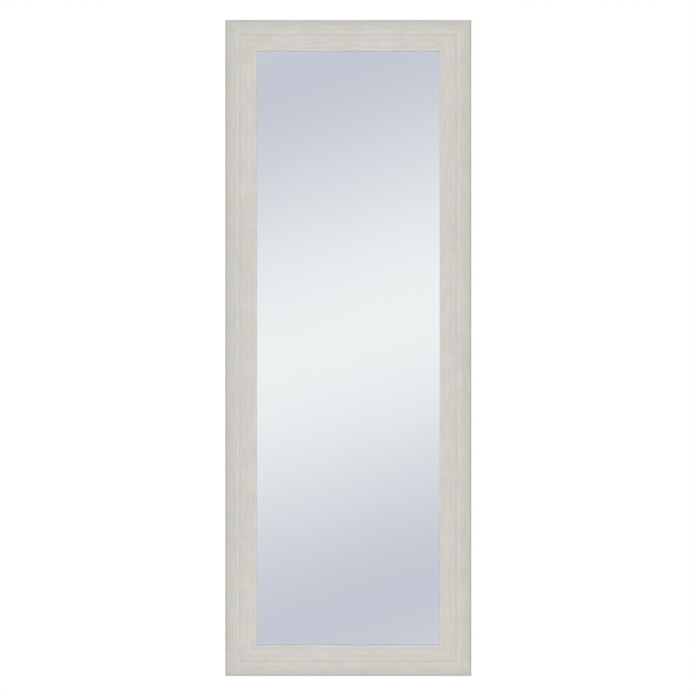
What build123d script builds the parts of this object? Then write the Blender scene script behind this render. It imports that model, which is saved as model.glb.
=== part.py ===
from build123d import *
import math
import os
from collections import namedtuple

# A tall wall mirror: a silvered pane in a mitred frame of foil-wrapped moulding, with a
# hardboard back held by driven steel points, D-ring hangers for hanging it upright or
# lying, and four wall pads. Lengths are in millimetres and angles in degrees.
# X runs to the viewer's right, Y towards the wall and Z up. The origin is the middle of
# the wall plane, which the wall pads touch.

# Overall size, seen from the front
frame_width = 450.0
frame_height = 1200.0

# Moulding section: widths run from the outer edge to the glass, heights from the back
moulding_width = 58.0
outer_wall_height = 6.0
outer_round = 9.5
back_round = 0.8
shoulder_width = 21.5
shoulder_bulge = 1.5
crest_width = 4.2
crest_height = 18.0
groove_width = 5.4
groove_depth = 2.2
bead_width = 5.0
bead_bulge = 0.4
fine_groove_width = 4.2
fine_groove_depth = 0.75
field_height = 17.4
field_hollow = 0.15
lip_width = 7.6
lip_step_width = 2.0
lip_step_drop = 0.7
lip_bulge = 0.2
sight_height = 15.6
sight_round = 0.8
front_softening = 1.5
mitre_gap = 0.1

# Rebate, glass and hardboard back
rebate_width = 8.0
rebate_depth = 12.0
glass_thickness = 3.0
glass_clearance = 1.5
glass_arris = 0.4
board_thickness = 3.0
board_clearance = 1.0

# Blocks and spacers between the glass edge and the rebate wall
spacer_length = 25.0
spacer_end_inset = 80.0

# Steel points that hold the back in, driven into the rebate wall
point_width = 7.0
point_thickness = 0.5
point_reach = 7.0
point_bite = 7.0
point_taper = 3.0
point_end_inset = 45.0
points_per_stile = 8
points_per_rail = 3

# V-shaped nails across the mitres, driven from the back
v_nail_leg = 5.5
v_nail_thickness = 0.8
v_nail_depth = 8.0
v_nail_insets = (12.0, 27.0, 42.0)

# Wall pads
pad_radius = 6.5
pad_height = 5.0
pad_taper = 10.0
pad_round = 1.0
pad_edge_inset = 25.0
pad_end_inset = 75.0

# D-ring hangers: a strip folded round the ring's bar, held by one screw
wire_radius = 1.25
ring_clearance = 0.2
ring_inner_width = 18.0
ring_leg = 4.5
ring_corner_radius = 2.4
ring_rest_gap = 0.2
strap_thickness = 0.9
strap_width = 14.0
strap_length = 26.0
strap_slit = 0.1
strap_neck_radius = 0.8
strap_end_radius = 6.5
screw_offset = 20.0
screw_hole_clearance = 0.4
hanger_edge_inset = 19.0
top_hanger_end_inset = 125.0
side_hanger_end_inset = 300.0

# Hanger screws
screw_head_radius = 3.5
screw_head_height = 2.2
screw_head_rim = 0.6
screw_shank_radius = 1.6
screw_bite = 12.0
screw_tip = 2.5
recess_span = 4.2
recess_width = 1.0
recess_depth = 1.3

os.makedirs("parts", exist_ok=True)

# Places that several pieces share, as heights in front of the frame's back
frame_back = -pad_height
glass_rear = rebate_depth - glass_thickness
board_rear = glass_rear - board_thickness
rebate_inset = moulding_width - rebate_width
front_facing = Plane(origin=(0, frame_back, 0), x_dir=(1, 0, 0), z_dir=(0, -1, 0))

# The four sides, each with its inward direction, the direction of its run, its reach
# from the middle of the mirror to its outer edge, and its length along that edge
Side = namedtuple("Side", "node inward run reach length")
left = Side("left_stile", Vector(1, 0, 0), Vector(0, 0, -1), frame_width / 2, frame_height)
right = Side("right_stile", Vector(-1, 0, 0), Vector(0, 0, 1), frame_width / 2, frame_height)
top = Side("top_rail", Vector(0, 0, -1), Vector(-1, 0, 0), frame_height / 2, frame_width)
bottom = Side("bottom_rail", Vector(0, 0, 1), Vector(1, 0, 0), frame_height / 2, frame_width)
sides = (left, right, top, bottom)
to_wall = Vector(0, 1, 0)


def on_back(side, across, along):
    """A point of the frame's back: across from the outer edge, along from the middle of the run."""
    return Vector(0, frame_back, 0) - side.inward * (side.reach - across) + side.run * along


def flat_place(side, across, along):
    """The same point as a place in a front_facing sketch, turned to face inward."""
    point = on_back(side, across, along)
    angle = math.degrees(math.atan2(side.inward.Z, side.inward.X))
    return Location((point.X, point.Z, 0), (0, 0, angle))


def pair(side, end_inset):
    """Two places along a run, one at the same distance from each end."""
    return (-side.length / 2 + end_inset, side.length / 2 - end_inset)


# V nails, three in each corner, with their bend towards the outer corner
with BuildPart() as v_nails:
    with BuildSketch(front_facing):
        for side_x in (-1, 1):
            for side_z in (-1, 1):
                for inset in v_nail_insets:
                    bend_x = side_x * (frame_width / 2 - inset)
                    bend_z = side_z * (frame_height / 2 - inset)
                    outline = [
                        (0, 0),
                        (v_nail_leg, 0),
                        (v_nail_leg, v_nail_thickness),
                        (v_nail_thickness, v_nail_thickness),
                        (v_nail_thickness, v_nail_leg),
                        (0, v_nail_leg),
                    ]
                    Polygon([(bend_x - side_x * x, bend_z - side_z * z) for x, z in outline])
    extrude(amount=v_nail_depth)
v_nails.part.label = "v_nails"
export_step(v_nails.part, "parts/v_nails.step")

# Points: a tapered bite in the rebate wall and a square end on the hardboard
with BuildPart() as retaining_points:
    with BuildSketch(front_facing.offset(board_rear - point_thickness)):
        for side in sides:
            count = points_per_stile if side in (left, right) else points_per_rail
            first, last = pair(side, rebate_inset + point_end_inset)
            for i in range(count):
                along = first + (last - first) * i / (count - 1)
                with Locations(flat_place(side, rebate_inset, along)):
                    Polygon(
                        (-point_bite, 0),
                        (point_taper - point_bite, -point_width / 2),
                        (point_reach, -point_width / 2),
                        (point_reach, point_width / 2),
                        (point_taper - point_bite, point_width / 2),
                    )
    extrude(amount=point_thickness)
retaining_points.part.label = "retaining_points"
export_step(retaining_points.part, "parts/retaining_points.step")

# Glass, with its long edges eased
glass_width = frame_width - 2 * (rebate_inset + glass_clearance)
glass_height = frame_height - 2 * (rebate_inset + glass_clearance)
with BuildPart() as mirror_glass:
    with BuildSketch(front_facing.offset(glass_rear)):
        Rectangle(glass_width, glass_height)
    extrude(amount=glass_thickness)
    chamfer(mirror_glass.edges().filter_by(Axis.Y, reverse=True), glass_arris)
mirror_glass.part.label = "mirror_glass"
export_step(mirror_glass.part, "parts/mirror_glass.step")

# Hardboard back
with BuildPart() as backing_board:
    with BuildSketch(front_facing.offset(board_rear)):
        Rectangle(
            frame_width - 2 * (rebate_inset + board_clearance),
            frame_height - 2 * (rebate_inset + board_clearance),
        )
    extrude(amount=board_thickness)
backing_board.part.label = "backing_board"
export_step(backing_board.part, "parts/backing_board.step")


def export_spacers(node, spaced_sides):
    """Strips that fill the gap between the glass edge and the rebate wall, two on each side."""
    with BuildPart() as spacers:
        with BuildSketch(front_facing.offset(glass_rear)):
            for side in spaced_sides:
                for along in pair(side, rebate_inset + spacer_end_inset):
                    with Locations(flat_place(side, rebate_inset + glass_clearance / 2, along)):
                        Rectangle(glass_clearance, spacer_length)
        extrude(amount=glass_thickness)
    spacers.part.label = node
    export_step(spacers.part, f"parts/{node}.step")


# The bottom pair carries the glass, and the others keep it centred
export_spacers("setting_blocks", [bottom])
export_spacers("edge_spacers", [left, right, top])

# D-ring hangers, two on the top rail for hanging upright and two on the left stile for
# hanging lying. The ring's bar turns in the fold, and each ring rests on its own strap.
Hanger = namedtuple("Hanger", "name side along")
top_places = pair(top, top_hanger_end_inset)
side_places = pair(left, side_hanger_end_inset)
hangers = (
    Hanger("top_left", top, top_places[1]),
    Hanger("top_right", top, top_places[0]),
    Hanger("side_upper", left, side_places[0]),
    Hanger("side_lower", left, side_places[1]),
)
fold_inner = wire_radius + ring_clearance
fold_outer = fold_inner + strap_thickness
leaf_height = 2 * strap_thickness
ring_half_width = ring_inner_width / 2 + wire_radius
ring_reach = ring_leg + ring_half_width

# At rest the ring is tilted off the back, so that its crown clears the strap's edges
crossing_reach = ring_leg + math.sqrt(ring_half_width**2 - (strap_width / 2) ** 2)
crossing_lift = leaf_height + ring_rest_gap + wire_radius - fold_outer
ring_tilt = math.asin(max(crossing_lift, 0) / crossing_reach)


def hinge_foot(hanger):
    """The foot of the ring's axis, on the frame's back."""
    return on_back(hanger.side, hanger_edge_inset, hanger.along)


for hanger in hangers:
    foot = hinge_foot(hanger)
    inward = hanger.side.inward
    run = hanger.side.run

    # Strap: a fold round the ring's bar, and two leaves with a hairline between them
    with BuildPart() as strap:
        with BuildSketch(Plane(origin=foot, x_dir=inward * -1, z_dir=run)) as fold:
            with Locations((0, fold_outer)):
                Circle(fold_outer)
            Rectangle(strap_length, leaf_height, align=(Align.MAX, Align.MIN))
            neck = fold.vertices().sort_by_distance((-fold_outer, leaf_height))[0]
            fillet(neck, strap_neck_radius)
            with Locations((0, fold_outer)):
                Circle(fold_inner, mode=Mode.SUBTRACT)
            with Locations((0, strap_thickness)):
                Rectangle(
                    strap_length, strap_slit, align=(Align.MAX, Align.CENTER), mode=Mode.SUBTRACT
                )
        extrude(amount=strap_width / 2, both=True)
        end_edges = strap.edges().filter_by(Axis.Y).group_by(Axis(foot, inward))[-1]
        fillet(end_edges, strap_end_radius)
        with BuildSketch(Plane(origin=foot + inward * screw_offset, x_dir=run, z_dir=to_wall)):
            Circle(screw_shank_radius + screw_hole_clearance)
        extrude(amount=leaf_height, mode=Mode.SUBTRACT)
    strap.part.label = f"hanger_strap_{hanger.name}"
    export_step(strap.part, f"parts/{strap.part.label}.step")

    # Ring: bent wire, with a straight bar, two legs and a half-round crown
    lie = inward * math.cos(ring_tilt) + to_wall * math.sin(ring_tilt)
    ring_plane = Plane(origin=foot + to_wall * fold_outer, x_dir=run, z_dir=run.cross(lie))
    with BuildPart() as ring:
        with BuildLine(ring_plane) as loop:
            FilletPolyline(
                (-ring_half_width, ring_leg),
                (-ring_half_width, 0),
                (ring_half_width, 0),
                (ring_half_width, ring_leg),
                radius=ring_corner_radius,
            )
            ThreePointArc(
                (ring_half_width, ring_leg), (0, ring_reach), (-ring_half_width, ring_leg)
            )
        with BuildSketch(Plane(origin=loop.line @ 0, z_dir=loop.line % 0)):
            Circle(wire_radius)
        sweep()
    ring.part.label = f"hanger_ring_{hanger.name}"
    export_step(ring.part, f"parts/{ring.part.label}.step")

# Hanger screws: a rounded head with a cross recess, a shank and a point
with BuildPart() as hanger_screws:
    for hanger in hangers:
        inward = hanger.side.inward
        run = hanger.side.run
        seat = hinge_foot(hanger) + inward * screw_offset + to_wall * leaf_height
        shank_length = leaf_height + screw_bite
        with BuildSketch(Plane(origin=seat, x_dir=run, z_dir=run.cross(to_wall))):
            with BuildLine():
                Polyline(
                    (0, screw_head_height),
                    (0, -shank_length),
                    (screw_shank_radius, screw_tip - shank_length),
                    (screw_shank_radius, 0),
                    (screw_head_radius, 0),
                    (screw_head_radius, screw_head_rim),
                )
                TangentArc(
                    (0, screw_head_height), (screw_head_radius, screw_head_rim), tangent=(1, 0)
                )
            make_face()
        revolve(axis=Axis(seat, to_wall))
        head_top = Plane(origin=seat + to_wall * screw_head_height, x_dir=run, z_dir=to_wall)
        with BuildSketch(head_top):
            Rectangle(recess_span, recess_width)
            Rectangle(recess_width, recess_span)
        extrude(amount=-recess_depth, mode=Mode.SUBTRACT)
hanger_screws.part.label = "hanger_screws"
export_step(hanger_screws.part, "parts/hanger_screws.step")

# Wall pads, on the backs of the stiles near the corners
pads = {
    "wall_pad_top_left": (left, 0),
    "wall_pad_bottom_left": (left, 1),
    "wall_pad_bottom_right": (right, 0),
    "wall_pad_top_right": (right, 1),
}
for node, (side, end) in pads.items():
    along = pair(side, pad_end_inset)[end]
    with BuildPart() as pad:
        foot = on_back(side, pad_edge_inset, along)
        with BuildSketch(Plane(origin=foot, x_dir=side.run, z_dir=to_wall)):
            Circle(pad_radius)
        extrude(amount=pad_height, taper=pad_taper)
        fillet(pad.faces().sort_by(Axis.Y)[-1].edges(), pad_round)
    pad.part.label = node
    export_step(pad.part, f"parts/{node}.step")

# Moulding section: x from the outer edge to the glass, y from the back to the front
crest_end = shoulder_width + crest_width
bead_start = crest_end + groove_width
bead_end = bead_start + bead_width
bead_foot = crest_height - bead_bulge
field_start = bead_end + fine_groove_width
step_start = moulding_width - lip_width
lip_start = step_start + lip_step_width
lip_height = field_height - lip_step_drop
with BuildSketch() as moulding_section:
    with BuildLine():
        Line((0, 0), (0, outer_wall_height))
        ThreePointArc(
            (0, outer_wall_height),
            (shoulder_width / 2, (outer_wall_height + crest_height) / 2 + shoulder_bulge),
            (shoulder_width, crest_height),
        )
        Polyline(
            (shoulder_width, crest_height),
            (crest_end, crest_height),
            ((crest_end + bead_start) / 2, crest_height - groove_depth),
            (bead_start, bead_foot),
        )
        ThreePointArc(
            (bead_start, bead_foot),
            ((bead_start + bead_end) / 2, crest_height),
            (bead_end, bead_foot),
        )
        Polyline(
            (bead_end, bead_foot),
            ((bead_end + field_start) / 2, bead_foot - fine_groove_depth),
            (field_start, field_height),
        )
        ThreePointArc(
            (field_start, field_height),
            ((field_start + step_start) / 2, field_height - field_hollow),
            (step_start, field_height),
        )
        Line((step_start, field_height), (lip_start, lip_height))
        ThreePointArc(
            (lip_start, lip_height),
            ((lip_start + moulding_width) / 2, (lip_height + sight_height) / 2 + lip_bulge),
            (moulding_width, sight_height),
        )
        Polyline(
            (moulding_width, sight_height),
            (moulding_width, rebate_depth),
            (rebate_inset, rebate_depth),
            (rebate_inset, 0),
            (0, 0),
        )
    make_face()
    front_creases = moulding_section.vertices().filter_by(
        lambda vertex: vertex.Y > rebate_depth and 0 < vertex.X < moulding_width
    )
    fillet(front_creases, front_softening)
    fillet(moulding_section.vertices().group_by(Axis.X)[-1].sort_by(Axis.Y)[-1], sight_round)
    outer_corners = moulding_section.vertices().group_by(Axis.X)[0].sort_by(Axis.Y)
    fillet(outer_corners[-1], outer_round)
    fillet(outer_corners[0], back_round)

# Stiles and rails: a straight run of moulding, mitred at both ends, with the cuts that
# its nails, points and screws make
for side in sides:
    edge_middle = on_back(side, 0, 0)
    with BuildPart() as moulding:
        with BuildSketch(Plane(origin=edge_middle, x_dir=side.inward, z_dir=side.run)):
            add(moulding_section.sketch)
        extrude(amount=side.length / 2, both=True)
        for end in (-1, 1):
            outer_corner = edge_middle + side.run * (end * side.length / 2)
            out_of_mitre = (side.inward + side.run * end).normalized()
            mitre = Plane(origin=outer_corner - out_of_mitre * (mitre_gap / 2), z_dir=out_of_mitre)
            split(bisect_by=mitre, keep=Keep.BOTTOM)
        add(v_nails.part, mode=Mode.SUBTRACT)
        add(retaining_points.part, mode=Mode.SUBTRACT)
        add(hanger_screws.part, mode=Mode.SUBTRACT)
    moulding.part.label = side.node
    export_step(moulding.part, f"parts/{side.node}.step")
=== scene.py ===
import math
from collections import namedtuple

import bpy
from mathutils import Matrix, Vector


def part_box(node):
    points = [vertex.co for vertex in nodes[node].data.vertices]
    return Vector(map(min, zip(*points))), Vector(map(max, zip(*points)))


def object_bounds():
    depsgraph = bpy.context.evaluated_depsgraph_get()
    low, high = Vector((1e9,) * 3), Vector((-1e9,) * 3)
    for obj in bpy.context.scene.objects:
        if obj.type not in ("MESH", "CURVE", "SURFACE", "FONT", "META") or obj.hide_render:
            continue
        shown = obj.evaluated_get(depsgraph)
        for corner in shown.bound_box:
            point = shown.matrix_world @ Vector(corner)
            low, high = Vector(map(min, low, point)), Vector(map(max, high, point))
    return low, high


# The looks of a tall wall mirror: whitewashed wood-grain foil on its moulding, silvered
# glass, and the hardboard, steel, zinc and rubber of its back. Lengths are in metres.
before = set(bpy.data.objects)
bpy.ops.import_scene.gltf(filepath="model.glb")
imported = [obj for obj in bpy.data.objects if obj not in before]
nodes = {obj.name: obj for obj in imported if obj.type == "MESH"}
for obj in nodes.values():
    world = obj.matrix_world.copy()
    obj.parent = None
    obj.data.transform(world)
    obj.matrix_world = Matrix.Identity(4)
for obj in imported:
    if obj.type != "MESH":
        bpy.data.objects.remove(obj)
cad_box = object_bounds()

# Places taken from the frame
half_width = cad_box[1].x
half_height = cad_box[1].z
moulding_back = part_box("left_stile")[1].y
moulding_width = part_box("left_stile")[1].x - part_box("left_stile")[0].x
glass_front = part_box("mirror_glass")[0].y
glass_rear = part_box("mirror_glass")[1].y

# Camera: straight at the front, with the photograph's framing
lens_mm = 150.0
sensor_mm = 36.0
camera_distance = 5.313
camera_shift_x = -0.0006

# Light, as shares of what makes a white surface render white. The front lamp shines
# straight on, as in the photograph, and the back lamp comes from above and aside.
ambient_share = 0.38
front_share = 0.62
back_share = 0.75
back_elevation = 20.0
back_azimuth = 163.0
lamp_softness = 24.0

# What the glass reflects: soft bands of light across the studio, leaning a little
band_period = 0.19
band_centre = 0.0045
band_lean = 0.316
band_swell = 0.85

# Floor under the mirror, which hangs clear of it. It reaches further in front, where the
# back lamp throws the mirror's shadow.
floor_drop = 0.3
floor_radius = 3.6
floor_centre_y = -1.5
floor_albedo = 0.6


def srgb(red, green, blue):
    """A colour as a screen shows it, from 0 to 255, turned into the shader's linear one."""
    linear = []
    for level in (red, green, blue):
        share = level / 255
        linear.append(share / 12.92 if share <= 0.04045 else ((share + 0.055) / 1.055) ** 2.4)
    return (*linear, 1.0)


# What a noise mostly keeps within
noise_range = (0.3, 0.7)


class Shade:
    """A material's shader tree, with a short call for each kind of node."""

    def __init__(self, name, tree=None):
        if tree is None:
            self.material = bpy.data.materials.new(name)
            self.material.use_nodes = True
            tree = self.material.node_tree
        self.tree = tree
        self.tree.nodes.clear()

    def node(self, kind, inputs=(), **settings):
        """Adds a node, with its settings and its inputs as pairs of socket and value or link."""
        made = self.tree.nodes.new(kind)
        for name, value in settings.items():
            setattr(made, name, value)
        for socket, value in inputs:
            if isinstance(value, bpy.types.NodeSocket):
                self.tree.links.new(value, made.inputs[socket])
            else:
                made.inputs[socket].default_value = value
        return made

    def place(self):
        """The place on the object, in metres."""
        return self.node("ShaderNodeTexCoord").outputs["Object"]

    def split(self, vector):
        made = self.node("ShaderNodeSeparateXYZ", [(0, vector)])
        return made.outputs["X"], made.outputs["Y"], made.outputs["Z"]

    def join(self, x, y, z):
        return self.node("ShaderNodeCombineXYZ", [(0, x), (1, y), (2, z)]).outputs[0]

    def math(self, operation, *values):
        made = self.node("ShaderNodeMath", list(enumerate(values)), operation=operation)
        return made.outputs[0]

    def product(self, *values):
        """All the values multiplied together."""
        total = values[0]
        for value in values[1:]:
            total = self.math("MULTIPLY", total, value)
        return total

    def along(self, vector, direction):
        """How far a place lies along a direction."""
        inputs = [(0, vector), (1, direction)]
        return self.node("ShaderNodeVectorMath", inputs, operation="DOT_PRODUCT").outputs["Value"]

    def stretch(self, vector, scale):
        inputs = [(0, vector), (1, scale)]
        return self.node("ShaderNodeVectorMath", inputs, operation="MULTIPLY").outputs[0]

    def noise(self, vector, scale, detail=2.0, rough=0.5, distortion=0.0):
        """Noise with its own scale along each axis, in cells a metre."""
        inputs = [
            ("Vector", self.stretch(vector, scale)),
            ("Scale", 1.0),
            ("Detail", detail),
            ("Roughness", rough),
            ("Distortion", distortion),
        ]
        return self.node("ShaderNodeTexNoise", inputs).outputs["Fac"]

    def cells(self, vector, scale):
        """A colour for each of the cells, which are as many a metre as scale says."""
        inputs = [("Vector", self.stretch(vector, (scale, scale, scale))), ("Scale", 1.0)]
        return self.node("ShaderNodeTexVoronoi", inputs).outputs["Color"]

    def ramp(self, value, low, high, to_low=0.0, to_high=1.0):
        """Carries low to high onto to_low to to_high, and stays within them."""
        inputs = [(0, value), (1, low), (2, high), (3, to_low), (4, to_high)]
        return self.node("ShaderNodeMapRange", inputs).outputs[0]

    def spread(self, noise, low=0.0, high=1.0):
        """Carries a noise's usual range onto low to high."""
        return self.ramp(noise, *noise_range, low, high)

    def mix(self, share, first, second, blend="MIX"):
        made = self.node("ShaderNodeMix", data_type="RGBA", blend_type=blend)
        for socket, value in ((0, share), (6, first), (7, second)):
            if isinstance(value, bpy.types.NodeSocket):
                self.tree.links.new(value, made.inputs[socket])
            else:
                made.inputs[socket].default_value = value
        return made.outputs[2]

    def lighten(self, colour, gain):
        """A colour times a number that varies over the surface."""
        made = self.node("ShaderNodeVectorMath", [(0, colour)], operation="SCALE")
        self.tree.links.new(gain, made.inputs["Scale"])
        return made.outputs[0]

    def bump(self, height, depth, strength=1.0, normal=None):
        inputs = [("Height", height), ("Distance", depth), ("Strength", strength)]
        if normal is not None:
            inputs.append(("Normal", normal))
        return self.node("ShaderNodeBump", inputs).outputs[0]

    def surface(self, **sockets):
        """The surface's shader, with sockets named as in Blender but with _ for a space."""
        inputs = [(name.replace("_", " "), value) for name, value in sockets.items()]
        shader = self.node("ShaderNodeBsdfPrincipled", inputs)
        self.node("ShaderNodeOutputMaterial", [("Surface", shader.outputs[0])])
        return self.material


Side = namedtuple("Side", "node inward along reach")
sides = (
    Side("left_stile", (1, 0, 0), (0, 0, 1), half_width),
    Side("right_stile", (-1, 0, 0), (0, 0, 1), half_width),
    Side("top_rail", (0, 0, -1), (1, 0, 0), half_height),
    Side("bottom_rail", (0, 0, 1), (1, 0, 0), half_height),
)

# Foil: how far it wraps onto the back, how uneven its cut edge is, and how far one side's
# print is shifted from the next one's
foil_wrap = 0.007
foil_wave = 0.0006
foil_nick = 0.00025
foil_thickness = 0.0002
print_shift = 3.0

# The bare rebate: its width, with a little to spare, and its height, just short of the lip
rebate_width = 0.0083
rebate_margin = 0.0001
rebate_start = moulding_width - rebate_width
rebate_height = moulding_back - glass_front - rebate_margin

# Where the foil's tone changes, from the outer edge: shoulder to field, and field to lip
shoulder_end = 0.023
shoulder_blend = 0.004
lip_start = 0.0525
lip_blend = 0.001

# Painted light on the foil: painted highlights along the edges of crest and lip, and painted shade
# along the grooves
crest_highlight = 0.0252
lip_highlight = 0.0572
groove_shade_lines = (0.0290, 0.0396)
painted_line_half_width = 0.0024


def fibreboard_colour(shade, place):
    """Raw fibreboard: tan, with pale and dark short fibres."""
    clouds = shade.noise(place, (26, 26, 26), detail=2.0)
    fibres = shade.noise(place, (1300, 1300, 700), detail=4.0, rough=0.75, distortion=1.5)
    specks = shade.noise(place, (900, 900, 1500), detail=1.0)
    tan = shade.mix(shade.spread(clouds), srgb(170, 142, 108), srgb(180, 152, 117))
    gain = shade.product(shade.spread(fibres, 0.8, 1.16), shade.ramp(specks, 0.68, 0.76, 1.0, 0.72))
    return shade.lighten(tan, gain)


def painted_line_gain(shade, across, centre, gain):
    """A painted line along the moulding, a highlight where the gain is above one and shade where it is
    below, reached on the line and fading away from it.
    """
    distance = shade.math("ABSOLUTE", shade.math("SUBTRACT", across, centre))
    return shade.ramp(distance, 0.0, painted_line_half_width, gain, 1.0)


def foil_print(shade, grain, across):
    """The foil's printed wood: a warm white, streaked along the grain, with fine pores, and with
    painted highlights on the crest and lip edges and painted shade along the grooves.
    """
    blotches = shade.noise(grain, (16, 16, 30), detail=1.0)
    streaks = shade.noise(grain, (340, 340, 23), detail=2.0, rough=0.55)
    lines = shade.noise(grain, (1100, 1100, 36), detail=2.0, rough=0.6)
    pores = shade.noise(grain, (2600, 2600, 100), detail=1.0)
    flecks = shade.noise(grain, (620, 620, 95), detail=0.0)
    reddish = shade.noise(grain, (75, 75, 32), detail=1.0)
    yellowish = shade.noise(shade.stretch(grain, (-1, -1, -1)), (75, 75, 32), detail=1.0)

    # The moulding's parts differ a little in tone, and the wood wanders to red and yellow
    on_field = shade.ramp(across, shoulder_end - shoulder_blend, shoulder_end)
    on_lip = shade.ramp(across, lip_start - lip_blend, lip_start)
    tone = shade.mix(on_field, srgb(207.7, 208.4, 202.2), srgb(208.5, 206.5, 202.5))
    tone = shade.mix(on_lip, tone, srgb(208.5, 208, 204.5))
    tone = shade.mix(shade.spread(reddish), tone, (1.038, 0.981, 1.0, 1.0), blend="MULTIPLY")
    tone = shade.mix(shade.spread(yellowish), tone, (1.0, 1.0, 0.938, 1.0), blend="MULTIPLY")

    gain = shade.product(
        shade.spread(blotches, 0.98, 1.02),
        shade.spread(streaks, 0.957, 1.043),
        shade.spread(lines, 0.97, 1.03),
        shade.ramp(pores, 0.64, 0.74, 1.0, 0.88),
        shade.ramp(flecks, 0.78, 0.84, 1.0, 0.84),
        # Painted highlights along the crest and lip edges, and painted shade along the grooves
        painted_line_gain(shade, across, crest_highlight, 1.035),
        painted_line_gain(shade, across, lip_highlight, 1.025),
        *[painted_line_gain(shade, across, groove, 0.98) for groove in groove_shade_lines],
    )
    relief = shade.math("ADD", lines, shade.ramp(pores, 0.64, 0.74, 0.0, -0.8))
    return shade.lighten(tone, gain), relief, streaks


def foil(side):
    """Whitewashed wood-grain foil round a fibreboard core, with the grain along the side."""
    shade = Shade(f"foil_{side.node}")
    place = shade.place()
    across = shade.math("ADD", shade.along(place, side.inward), side.reach)
    height = shade.math("SUBTRACT", moulding_back, shade.split(place)[1])
    along = shade.math("ADD", shade.along(place, side.along), print_shift * sides.index(side))
    grain = shade.join(across, height, along)
    printed, relief, streaks = foil_print(shade, grain, across)

    # Bare core: the back beyond the foil's cut edge, and the rebate
    wave = shade.noise(grain, (0, 0, 22), detail=1.0)
    nick = shade.noise(grain, (0, 0, 420), detail=3.0, rough=0.7)
    edge = shade.math(
        "ADD",
        shade.spread(wave, foil_wrap - foil_wave, foil_wrap + foil_wave),
        shade.spread(nick, -foil_nick, foil_nick),
    )
    bare_back = shade.product(
        shade.math("LESS_THAN", height, foil_thickness),
        shade.math("GREATER_THAN", across, edge),
    )
    in_rebate = shade.product(
        shade.math("GREATER_THAN", across, rebate_start),
        shade.math("LESS_THAN", height, rebate_height),
    )
    bare = shade.math("MAXIMUM", bare_back, in_rebate)
    colour = shade.mix(bare, printed, fibreboard_colour(shade, place))

    # Satin foil, brushed along the grain, with a step down to the matt board
    satin = shade.spread(streaks, 0.5, 0.4)
    step = shade.bump(shade.math("SUBTRACT", 1.0, bare), foil_thickness)
    return shade.surface(
        Base_Color=colour,
        Roughness=shade.math("MULTIPLY_ADD", bare, 0.4, satin),
        Specular_IOR_Level=0.4,
        Normal=shade.bump(relief, depth=0.00008, strength=0.6, normal=step),
    )


# Glass: where the ground edge starts behind the front face, and where the paint is full at the
# rear one, each with the depth over which it blends in
front_skin = 0.0001
edge_blend = 0.0005
rear_skin = 0.0002
paint_blend = 0.0004


def silvered_glass():
    """Float glass with its silver behind it, painted on the back and ground on the edges."""
    shade = Shade("silvered_glass")
    place = shade.place()
    depth = shade.split(place)[1]
    edge_start = glass_front + front_skin
    paint_full = glass_rear - rear_skin
    edge = shade.ramp(depth, edge_start, edge_start + edge_blend)
    paint = shade.ramp(depth, paint_full - paint_blend, paint_full)
    haze = shade.noise(place, (9, 9, 6), detail=3.0)
    silver = shade.mix(shade.spread(haze), srgb(245, 247, 247), srgb(247, 248, 248))
    behind = shade.noise(place, (60, 60, 60), detail=4.0)
    coat = shade.mix(shade.spread(behind), srgb(96, 108, 116), srgb(112, 124, 132))
    colour = shade.mix(edge, silver, srgb(120, 150, 138))
    return shade.surface(
        Base_Color=shade.mix(paint, colour, coat),
        Metallic=shade.math("SUBTRACT", 1.0, edge),
        Roughness=shade.math("MULTIPLY_ADD", edge, 0.4, shade.ramp(haze, 0.4, 0.8, 0.0, 0.012)),
    )


# Hardboard: the pitch of the screen that it was pressed on
screen_pitch = 0.0015


def hardboard():
    """Pressed brown hardboard, with the weave of its pressing screen and loose fibres."""
    shade = Shade("hardboard")
    place = shade.place()
    clouds = shade.noise(place, (14, 14, 14), detail=4.0, rough=0.6)
    mottle = shade.noise(place, (160, 160, 160), detail=4.0, rough=0.65)
    fibres = shade.noise(place, (1400, 1400, 500), detail=2.0, distortion=2.0)
    brown = shade.mix(shade.spread(clouds), srgb(118, 84, 56), srgb(138, 101, 70))
    x, _, z = shade.split(place)
    wires = 2 * math.pi / screen_pitch
    weave = shade.math(
        "MAXIMUM",
        shade.math("SINE", shade.math("MULTIPLY", x, wires)),
        shade.math("SINE", shade.math("MULTIPLY", z, wires)),
    )
    gain = shade.product(
        shade.spread(mottle, 0.84, 1.14),
        shade.ramp(fibres, 0.6, 0.75, 1.0, 1.25),
        shade.ramp(weave, -1.0, 1.0, 0.87, 1.05),
    )
    relief = shade.math("MULTIPLY_ADD", weave, 0.6, mottle)
    return shade.surface(
        Base_Color=shade.lighten(brown, gain),
        Roughness=shade.spread(mottle, 0.6, 0.76),
        Specular_IOR_Level=0.35,
        Normal=shade.bump(relief, depth=0.0002, strength=0.7),
    )


def bright_metal(name, dark, light, tint, roughness, spangle):
    """Plated or galvanised sheet and wire: cloudy plating, crystals, and fine scratches."""
    shade = Shade(name)
    place = shade.place()
    clouds = shade.noise(place, (220, 220, 220), detail=3.0)
    crystals = shade.cells(place, spangle)
    scratches = shade.noise(place, (2600, 2600, 160), detail=1.0, distortion=1.5)
    colour = shade.mix(shade.spread(clouds), dark, light)
    colour = shade.mix(shade.ramp(clouds, 0.55, 0.75, 0.0, 0.5), colour, tint)
    colour = shade.mix(0.06, colour, crystals, blend="OVERLAY")
    worn = shade.ramp(scratches, 0.62, 0.72)
    return shade.surface(
        Base_Color=colour,
        Metallic=1.0,
        Roughness=shade.math(
            "ADD",
            shade.spread(clouds, roughness - 0.05, roughness + 0.06),
            shade.product(worn, 0.1),
        ),
        Normal=shade.bump(shade.math("SUBTRACT", clouds, worn), depth=0.00002, strength=0.35),
    )


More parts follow.
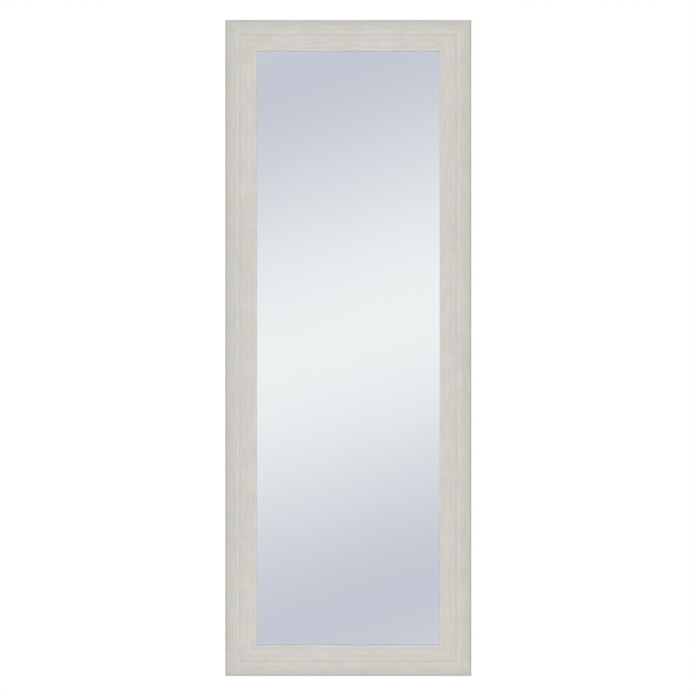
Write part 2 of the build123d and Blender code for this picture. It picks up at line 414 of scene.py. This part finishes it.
def rubber():
    """Dark moulded rubber with a little dust."""
    shade = Shade("rubber")
    place = shade.place()
    grain = shade.noise(place, (1800, 1800, 1800), detail=3.0)
    dust = shade.noise(place, (260, 260, 260), detail=4.0, rough=0.7)
    return shade.surface(
        Base_Color=shade.mix(shade.ramp(dust, 0.45, 0.8), srgb(44, 44, 46), srgb(82, 80, 78)),
        Roughness=shade.spread(dust, 0.62, 0.8),
        Normal=shade.bump(grain, depth=0.00004, strength=0.6),
    )


def wear(node, material):
    """Gives a node of the frame its material."""
    mesh = nodes[node].data
    mesh.materials.clear()
    mesh.materials.append(material)


for side in sides:
    wear(side.node, foil(side))
wear("mirror_glass", silvered_glass())
wear("backing_board", hardboard())

galvanised = bright_metal(
    "galvanised_steel",
    srgb(168, 172, 176),
    srgb(196, 199, 202),
    srgb(182, 184, 184),
    roughness=0.38,
    spangle=500,
)
for node in ("retaining_points", "v_nails"):
    wear(node, galvanised)

zinc = bright_metal(
    "zinc_plate",
    srgb(206, 208, 210),
    srgb(226, 227, 228),
    srgb(222, 219, 206),
    roughness=0.27,
    spangle=1500,
)
dark_rubber = rubber()
for node in nodes:
    if node.startswith("hanger_"):
        wear(node, zinc)
    elif node.startswith("wall_pad_") or node in ("setting_blocks", "edge_spacers"):
        wear(node, dark_rubber)

# Floor: a plain white disc that keeps the mirror's shadow
floor_level = cad_box[0].z - floor_drop
bpy.ops.mesh.primitive_circle_add(
    vertices=96,
    radius=floor_radius,
    fill_type="NGON",
    location=(0, floor_centre_y, floor_level),
)
floor = bpy.context.object
floor.name = "floor"
floor.visible_diffuse = False
floor.visible_glossy = False
floor.visible_shadow = False


def floor_shade():
    """White to the eye where it is lit, and clear from below."""
    shade = Shade("floor")
    path = shade.node("ShaderNodeLightPath").outputs
    seen = shade.math("MAXIMUM", path["Is Camera Ray"], path["Is Glossy Ray"])
    seen = shade.math("MAXIMUM", seen, path["Is Transmission Ray"])
    lit = ambient_share + back_share * math.sin(math.radians(back_elevation))
    fill = 1.0 - floor_albedo * lit
    board = shade.node("ShaderNodeBsdfDiffuse", [("Color", (*[floor_albedo] * 3, 1.0))])
    glow = shade.node("ShaderNodeEmission", [("Strength", shade.math("MULTIPLY", seen, fill))])
    both = shade.node("ShaderNodeAddShader", [(0, board.outputs[0]), (1, glow.outputs[0])])
    clear = shade.node("ShaderNodeBsdfTransparent")
    below = shade.node("ShaderNodeNewGeometry").outputs["Backfacing"]
    inputs = [(0, below), (1, both.outputs[0]), (2, clear.outputs[0])]
    mixed = shade.node("ShaderNodeMixShader", inputs)
    shade.node("ShaderNodeOutputMaterial", [("Surface", mixed.outputs[0])])
    return shade.material


floor.data.materials.append(floor_shade())


def studio():
    """The world: white behind the mirror, soft bands where it is reflected, even as a light."""
    world = bpy.data.worlds.new("studio")
    world.use_nodes = True
    bpy.context.scene.world = world
    shade = Shade("studio", world.node_tree)
    path = shade.node("ShaderNodeLightPath").outputs
    direction = shade.node("ShaderNodeTexCoord").outputs["Generated"]
    slant = shade.along(direction, (-band_lean, 0.0, 1.0))
    slant = shade.math("SUBTRACT", slant, band_centre)
    turn = shade.math("MULTIPLY", slant, 2 * math.pi / band_period)
    wave = shade.ramp(shade.math("COSINE", turn), -1.0, 1.0)
    share = shade.math("POWER", wave, band_swell)
    bands = shade.mix(share, srgb(201.5, 205, 217), srgb(245, 247, 248))
    reflected = shade.node("ShaderNodeBackground", [("Color", bands)])
    white = shade.node("ShaderNodeBackground", [("Color", (1.0, 1.0, 1.0, 1.0))])
    even = shade.node("ShaderNodeBackground", [("Color", (*[ambient_share] * 3, 1.0))])
    seen = shade.math("MAXIMUM", path["Is Camera Ray"], path["Is Transmission Ray"])
    first = shade.node("ShaderNodeMixShader", [(0, seen), (1, even.outputs[0]), (2, white.outputs[0])])
    second = shade.node(
        "ShaderNodeMixShader",
        [(0, path["Is Glossy Ray"]), (1, first.outputs[0]), (2, reflected.outputs[0])],
    )
    shade.node("ShaderNodeOutputWorld", [("Surface", second.outputs[0])])


studio()


def lamp(name, share, azimuth, elevation, reflected):
    """A broad distant lamp, from an azimuth where 0 is the front."""
    light = bpy.data.lights.new(name, "SUN")
    light.energy = share * math.pi
    light.angle = math.radians(lamp_softness)
    holder = bpy.data.objects.new(name, light)
    holder.rotation_euler = (math.radians(90 - elevation), 0, math.radians(azimuth))
    holder.visible_glossy = reflected
    bpy.context.scene.collection.objects.link(holder)


lamp("front_lamp", front_share, 0, 0, reflected=False)
lamp("back_lamp", back_share, back_azimuth, back_elevation, reflected=True)

# Camera
camera_data = bpy.data.cameras.new("camera")
camera_data.lens = lens_mm
camera_data.sensor_width = sensor_mm
camera = bpy.data.objects.new("camera", camera_data)
camera.location = (camera_shift_x, -camera_distance, 0)
camera.rotation_euler = (math.radians(90), 0, 0)
bpy.context.scene.collection.objects.link(camera)
bpy.context.scene.camera = camera
bpy.context.scene.view_settings.view_transform = "Standard"
